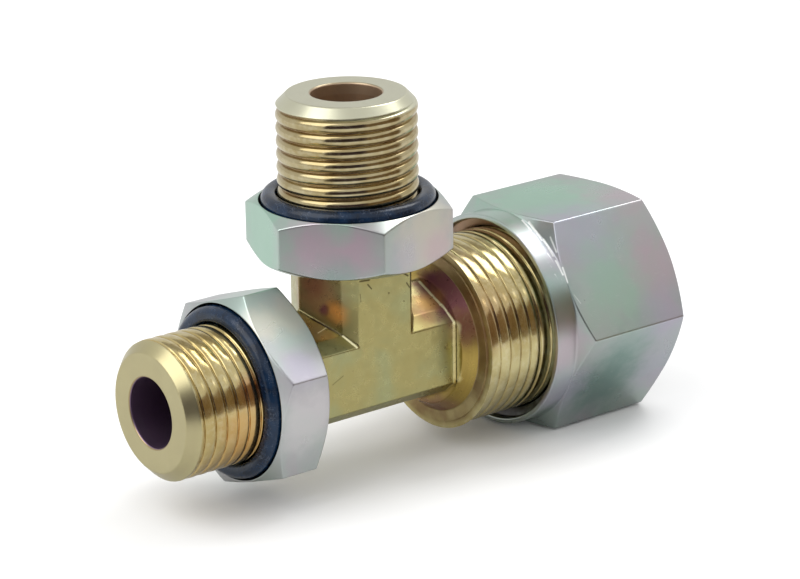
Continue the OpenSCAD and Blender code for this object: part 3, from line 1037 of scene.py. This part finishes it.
# Colours of painted highlights
HIGHLIGHT_BRASS = colour(255, 248, 200)
PALE_HIGHLIGHT_BRASS = colour(240, 230, 168)
CREASE_BROWN = colour(40, 24, 16)
FORGING_CREASES = [
    ((-6.7, -1.62, 6.51), (-5.0, -4.8, 5.05), 0.22, 0.9, CREASE_BROWN),
    ((3.68, -6.3, 11.0), (3.68, -6.3, 7.4), 0.16, 0.7, CREASE_BROWN),
    ((-7.6, -6.36, 0.2), (-6.1, -6.36, 0.9), 0.1, 0.5, colour(96, 92, 50)),
    ((-3.5, -6.3, 11.4), (-2.2, -6.36, 11.3), 0.16, 0.8, CREASE_BROWN),
    ((-2.4, -6.36, 10.8), (-1.9, -6.36, 10.2), 0.13, 0.7, CREASE_BROWN),
    ((-3.5, -6.3, 9.9), (-3.4, -6.3, 9.0), 0.12, 0.7, CREASE_BROWN),
    ((2.4, -6.36, 11.2), (3.3, -6.36, 10.6), 0.14, 0.8, CREASE_BROWN),
    ((3.1, -6.36, 9.8), (3.5, -6.36, 9.2), 0.13, 0.7, CREASE_BROWN),
    ((0.6, -6.36, 11.4), (1.4, -6.36, 11.2), 0.12, 0.6, CREASE_BROWN),
]
# Painted highlights: bright strokes along the arms' edges, the inner corner and the step before the flare,
# and a line on a facet
FORGING_GLINTS = [
    ((-4.95, -4.95, 4.95), (-4.05, -6.3, 3.75), 0.18, 0.9, HIGHLIGHT_BRASS),
    ((9.6, -0.53, 7.02), (9.6, -4.36, 5.23), 0.24, 0.8, HIGHLIGHT_BRASS),
    ((9.6, -4.36, 5.23), (9.9, -6.5, 3.5), 0.3, 0.85, HIGHLIGHT_BRASS),
    ((9.9, -6.8, 3.2), (9.9, -6.8, -2.9), 0.8, 0.6, PALE_HIGHLIGHT_BRASS),
    ((-7.43, -3.66, 5.56), (-6.03, -3.29, 5.73), 0.1, 0.7, HIGHLIGHT_BRASS),
]
# Soft spots of film tint on the nuts' flats; some of them also make a whole flat lighter or darker as
# painted light and shade
BRANCH_FILM_AND_FACE_LIGHT = [
    ((*on_face(turn, along, LOCKNUT_FLATS), height), radius, softness, strength, paint)
    for turn, along, height, radius, softness, strength, paint in [
        (161.44, 0, 15.8, 6.0, 0.5, 0.8, FILM_GREEN),
        (221.44, -1.8, 15.9, 2.8, 0.8, 0.6, FILM_PINK),
        (221.44, 2.7, 16.0, 2.3, 0.8, 0.65, FILM_PINK),
        (221.44, 1.0, 18.9, 1.6, 0.8, 0.5, FILM_GREEN),
        (221.44, 0.6, 12.9, 2.0, 0.8, 0.5, FILM_TEAL),
        (281.44, 1.0, 15.8, 4.8, 0.6, 0.7, FILM_CREAM),
        (281.44, -2.6, 14.6, 2.6, 0.8, 0.4, FILM_LILAC),
        (281.44, 3.0, 14.2, 2.0, 0.8, 0.4, FILM_PINK),
    ]
]
UNION_FILM_AND_FACE_LIGHT = [
    ((29.0, *on_face(89.6, -1.0, UNION_FLATS)), 7.0, 0.6, 0.85, FILM_GREEN),
    ((37.0, *on_face(89.6, 4.5, UNION_FLATS)), 3.4, 0.8, 0.45, FILM_PINK),
    ((27.5, -8.1, 11.3), 5.0, 0.8, 0.5, FILM_LILAC),
    ((29.6, -11.6, 5.2), 4.6, 0.8, 0.6, FILM_GREEN),
    ((36.4, -11.4, 6.0), 3.6, 0.8, 0.4, FILM_PINK),
    ((35.5, -14.4, 0.6), 3.4, 0.8, 0.45, FILM_LILAC),
    ((30.4, -12.7, -3.2), 3.6, 0.8, 0.6, FILM_TEAL),
    ((29.0, -10.4, -7.4), 4.8, 0.8, 0.8, FILM_DARK_TEAL),
    ((37.5, -10.7, -6.8), 3.6, 0.8, 0.4, FILM_LILAC),
    ((21.0, -11.0, 5.6), 2.4, 0.8, 0.6, FILM_TEAL),
    ((21.4, -12.6, -0.8), 2.2, 0.8, 0.45, FILM_PINK),
    ((22.6, -11.0, -7.0), 3.0, 0.8, 0.5, FILM_LILAC),
]
# Patches of painted light on the counterbore's wall, so that the thread near the lip reflects a brighter
# wall
COUNTERBORE_LIGHT_SPOTS = [
    ((18.4, -10.4, -2.0), 9.0, 0.4, 1.0, COUNTERBORE_LIGHT_PALE),
    ((18.4, 1.0, 11.8), 8.0, 0.3, 1.0, COUNTERBORE_LIGHT_BROWN),
]
RUN_FILM_AND_FACE_LIGHT = [
    ((-14.0, *on_face(101.77, 0, LOCKNUT_FLATS)), 5.0, 0.6, 0.3, FILM_GREEN),
    ((-16.3, -5.4, 9.0), 2.0, 0.6, 0.5, FILM_CREAM),
    ((-12.4, -5.2, 9.2), 2.4, 0.6, 0.5, FILM_CREAM),
    ((-14.7, -10.0, 4.9), 2.0, 0.6, 0.4, FILM_LILAC),
    ((-14.3, -10.4, -1.2), 3.6, 0.6, 0.7, FILM_PALE),
]
SCRATCHED_ZINC = colour(246, 248, 246)
# What engrave takes: (start, end, width, depth)
BRANCH_NICKS = [((-4.3, -11.0, 13.75), (-3.1, -11.15, 13.95), 0.5, 0.3)]
RUN_DENTS = [((-16.9, -10.08, -2.2), (-15.0, -10.2, -1.4), 0.5, 0.14)]
UNION_GOUGES = [
    ((22.95, -3.05, 12.3), (22.6, -5.0, 11.57), 0.3, 0.16),
    ((23.2, -4.0, 12.2), (22.8, -6.7, 10.75), 0.34, 0.18),
    ((23.05, -6.7, 10.8), (22.9, -8.6, 9.3), 0.3, 0.18),
    ((23.55, -7.4, 11.1), (23.3, -8.7, 9.7), 0.28, 0.16),
    ((22.9, -9.05, 8.8), (22.95, -10.2, 7.4), 0.3, 0.16),
    ((23.2, -9.9, 8.1), (23.1, -10.9, 6.6), 0.28, 0.16),
]
# Starts and ends of the lighter scratches beside the gouges
UNION_SCUFFS = [
    ((22.2, -4.2, 11.8), (21.8, -6.0, 11.0)),
    ((22.5, -5.6, 11.3), (22.0, -7.4, 10.1)),
    ((22.1, -7.4, 10.1), (22.3, -8.8, 8.9)),
    ((21.6, -8.4, 9.3), (21.9, -9.4, 8.3)),
    ((22.4, -8.2, 9.6), (22.5, -9.2, 8.5)),
    ((22.5, -10.4, 7.0), (22.6, -11.2, 5.6)),
    ((21.9, -10.0, 7.6), (22.2, -10.7, 6.5)),
    ((23.4, -11.6, 5.2), (23.9, -12.2, 4.2)),
    ((24.0, -12.3, 3.9), (24.9, -13.1, 2.6)),
]


def finish_piece(piece, material, body, slot, *nodes):
    """Gives a piece its material and the body it moves with, and hides the CAD nodes it stands for. The slot
    is not used.
    """
    piece.data.materials.clear()
    piece.data.materials.append(material)
    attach(piece, body)
    if nodes:
        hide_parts(*nodes)


# Pieces

BRANCH_AXIS = (0, 0, 1)
RUN_AXIS = (-1, 0, 0)
UNION_AXIS = (1, 0, 0)
stud_radii = (STUD_CREST_R, STUD_ROOT_R)
cone_radii = (UNION_CREST_R, UNION_ROOT_R)

branch_looks = (BRANCH_TIP, BRANCH_METAL, TIP_SILVER, LIT_BORE_BROWN)
branch_brass = turned_brass("branch_turned_brass", BRANCH_AXIS, stud_radii, *branch_looks)
run_looks = (RUN_TIP, RUN_METAL, TIP_PALE_GOLD, SHADED_BORE_PURPLE, RUN_STAINS)
run_brass = turned_brass("run_turned_brass", RUN_AXIS, stud_radii, *run_looks)
# The cone end has no pale tip, so its tip is set beyond the metal.
cone_looks = (MALE_END + 5, CONE_METAL, TIP_GOLD, LIT_BORE_BROWN, CONE_STAINS, SHOULDER_END)
cone_brass = turned_brass("cone_turned_brass", UNION_AXIS, cone_radii, *cone_looks)

branch_stud = turned_stud("branch_stud", BRANCH_ARM_END, BRANCH_TIP, BRANCH_CREST, UP_BRANCH)
run_stud = turned_stud("run_stud", RUN_ARM_END, RUN_TIP, RUN_CREST, TO_RUN_STUD)
finish_piece(branch_stud, branch_brass, "tee", "forged_brass", "tee_body")
finish_piece(run_stud, run_brass, "tee", "forged_brass", "tee_body")
finish_piece(cone_end("cone_end"), cone_brass, "tee", "forged_brass", "tee_body")
finish_piece(forged_arms(), forged_brass("forged_brass"), "tee", "forged_brass", "tee_body")


def recess_shade_paint(planes):
    """The inside of a locknut's recess and bore, painted black as painted shade."""
    low, high = planes
    return (RECESS_R, low + LOCKNUT_BORE_CHAMFER + 0.1, high + 1, RECESS_SHADE_BLACK)


branch_nut = locknut("branch_locknut_dressed", BRANCH_NUT_PLANES, BRANCH_NUT_TURN, UP_BRANCH)
engrave(branch_nut, BRANCH_NICKS)
branch_zinc = zinc_plate("branch_zinc", 1.0, BRANCH_AXIS, recess_shade_paint(BRANCH_NUT_PLANES), BRANCH_FILM_AND_FACE_LIGHT)
finish_piece(branch_nut, branch_zinc, "branch_nut", "zinc_steel", "branch_locknut")
run_nut = locknut("run_locknut_dressed", RUN_NUT_PLANES, RUN_NUT_TURN, TO_RUN_STUD)
engrave(run_nut, RUN_DENTS)
run_zinc = zinc_plate("run_zinc", 31.0, RUN_AXIS, recess_shade_paint(RUN_NUT_PLANES), RUN_FILM_AND_FACE_LIGHT)
finish_piece(run_nut, run_zinc, "run_nut", "zinc_steel", "run_locknut")
coupling = union_nut("union_nut_dressed")
engrave(coupling, UNION_GOUGES)
gouge_lines = [(start, end, 0.6 * width, 0.85, SCRATCHED_ZINC) for start, end, width, depth in UNION_GOUGES]
gouge_lines += [(start, end, 0.1, 0.8, SCRATCHED_ZINC) for start, end in UNION_SCUFFS]
union_lip, union_back = UNION_PLANES
# The union nut's counterbore and bore are painted dark grey as painted shade
union_bore = (COUNTERBORE_R, union_lip - 1, union_back - PIPE_HOLE_CHAMFER - 0.1, COUNTERBORE_SHADE_GREY)
union_marks = (UNION_FILM_AND_FACE_LIGHT, gouge_lines, COUNTERBORE_LIGHT_SPOTS)
union_zinc = zinc_plate("union_zinc", 57.0, UNION_AXIS, union_bore, *union_marks)
finish_piece(coupling, union_zinc, "coupling_nut", "zinc_steel", "union_nut")

rubber = seal_rubber("seal_rubber")
branch_seal = o_ring("branch_o_ring_dressed", BRANCH_RING_MIDDLE, UP_BRANCH)
finish_piece(branch_seal, rubber, "branch_seal", "seal_rubber", "branch_o_ring")
run_seal = o_ring("run_o_ring_dressed", RUN_RING_MIDDLE, TO_RUN_STUD)
finish_piece(run_seal, rubber, "run_seal", "seal_rubber", "run_o_ring")

# The cutting ring is hidden inside the union nut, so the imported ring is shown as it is, in its own finish.
cutting_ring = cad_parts["cutting_ring"]
cutting_ring.data.materials.clear()
cutting_ring.data.materials.append(ring_steel("ring_steel"))

# Camera

AZIMUTH = math.radians(-38.309)
ELEVATION = math.radians(18.531)
ROLL = math.radians(-0.915)
SENSOR_MM = 36.0
FOCAL_LENGTHS_WIDE = 3370.1 / 800
CAMERA_SHIFT_RIGHT = 5.500
CAMERA_SHIFT_UP = 7.672
CAMERA_AWAY = 383.405


def photo_camera():
    """The camera where the photograph was taken from."""
    outward = math.cos(ELEVATION)
    back = Vector((math.sin(AZIMUTH) * outward, -math.cos(AZIMUTH) * outward, math.sin(ELEVATION)))
    level = Vector((math.cos(AZIMUTH), math.sin(AZIMUTH), 0))
    upright = level.cross(-back)
    right = level * math.cos(ROLL) + upright * math.sin(ROLL)
    up = upright * math.cos(ROLL) - level * math.sin(ROLL)
    data = bpy.data.cameras.new("photo_camera")
    data.sensor_fit = "HORIZONTAL"
    data.sensor_width = SENSOR_MM
    data.lens = SENSOR_MM * FOCAL_LENGTHS_WIDE
    data.clip_start = 0.01
    data.clip_end = 20.0
    camera = in_scene("photo_camera", data)
    place = (right * CAMERA_SHIFT_RIGHT + up * CAMERA_SHIFT_UP + back * CAMERA_AWAY) * MM
    turn = Matrix((right, up, back)).transposed()
    camera.matrix_world = Matrix.Translation(place) @ turn.to_4x4()
    bpy.context.scene.camera = camera


photo_camera()

# Studio, in metres

FLOOR_LEVEL = cad_box[0].z - 0.0002
FLOOR_HALF = 4.0
FLOOR_PALE = (0.97, 0.97, 0.97, 1)
LAMP_AIM = Vector((0.005, 0, 0.008))
TABLE_CLOTH_LEVEL = FLOOR_LEVEL + 0.00002
FLOOR_CLOTH_LEVEL = FLOOR_LEVEL + 0.00006
CLOTH_R = 0.55
CLOTH_FOOT = -0.012
TABLE_GREY = colour(214, 214, 214)
FRONT_PURPLE = colour(46, 30, 42)
RIGHT_AMBER = colour(112, 92, 66)
BACK_GREY = colour(150, 146, 138)


def stage_piece(name, points, faces, paint):
    """A dull flat piece of the studio."""
    piece = plain_mesh(name, points, faces)
    material, tree, shader = new_material(name + "_paint", 0.0)
    shader.inputs["Base Color"].default_value = paint
    shader.inputs["Roughness"].default_value = 0.9
    piece.data.materials.append(material)
    return piece


def floor():
    """A wide pale floor just under the part's lowest point."""
    low, half = FLOOR_LEVEL, FLOOR_HALF
    corners = [(-half, -half, low), (half, -half, low), (half, half, low), (-half, half, low)]
    stage_piece("floor", corners, [(0, 1, 2, 3)], FLOOR_PALE)


def cloth(name, directions, lower_rim, upper_rim, paint):
    """A cloth that only reflections show, between two directions and two rims (radius, height)."""
    steps = 24
    start, end = directions
    points = []
    for step in range(steps + 1):
        a = math.radians(start + (end - start) * step / steps)
        for radius, height in (lower_rim, upper_rim):
            points.append((radius * math.cos(a), radius * math.sin(a), height))
    faces = [(2 * i, 2 * i + 2, 2 * i + 3, 2 * i + 1) for i in range(steps)]
    piece = stage_piece(name, points, faces, paint)
    piece.visible_camera = False
    piece.visible_diffuse = False
    piece.visible_shadow = False
    piece.visible_transmission = False


def studio_world():
    """White where the camera looks, a little less in reflections and on dull surfaces."""
    world = bpy.data.worlds.new("studio")
    bpy.context.scene.world = world
    world.use_nodes = True
    tree = world.node_tree
    backdrop = tree.nodes["Background"]
    backdrop.inputs["Color"].default_value = (1, 1, 1, 1)
    path = shader_node(tree, "LightPath", {}).outputs
    seen = larger(tree, path["Is Camera Ray"], path["Is Transmission Ray"])
    dull = inverted(tree, larger(tree, seen, path["Is Glossy Ray"]))
    strength = maths(tree, "ADD", seen, times(tree, path["Is Glossy Ray"], 0.78))
    strength = maths(tree, "ADD", strength, times(tree, dull, 0.95))
    tree.links.new(strength, backdrop.inputs["Strength"])


def lamp(name, place, size, radiance):
    """A square soft lamp that looks at the middle of the part."""
    data = bpy.data.lights.new(name, "AREA")
    data.shape = "SQUARE"
    data.size = size
    data.energy = radiance * math.pi * size * size
    piece = in_scene(name, data)
    piece.location = place
    piece.rotation_mode = "QUATERNION"
    piece.rotation_quaternion = (LAMP_AIM - Vector(place)).to_track_quat("-Z", "Y")


floor()
studio_world()
lamp("left_overhead_lamp", (-0.48, 0.07, 0.50), 0.6, 1.7)
lamp("right_overhead_lamp", (0.48, 0.04, 0.65), 0.36, 4.2)
lamp("front_right_lamp", (0.47, -0.464, 0.448), 0.08, 1.4)
cloth("table_cloth", (0, 360), (0.8, TABLE_CLOTH_LEVEL), (0.0, TABLE_CLOTH_LEVEL), TABLE_GREY)
for name, directions, inner, top, paint in (
    ("front", (196, 262), 0.112, 0.30, FRONT_PURPLE),
    ("right", (262, 325), 0.115, 0.25, RIGHT_AMBER),
):
    cloth(name + "_floor_cloth", directions, (CLOTH_R, FLOOR_CLOTH_LEVEL), (inner, FLOOR_CLOTH_LEVEL), paint)
    cloth(name + "_cloth", directions, (CLOTH_R, CLOTH_FOOT), (CLOTH_R, top), paint)
cloth("back_cloth", (15, 75), (CLOTH_R, 0.36), (CLOTH_R, 0.85), BACK_GREY)

bpy.context.scene.view_settings.view_transform = "Standard"
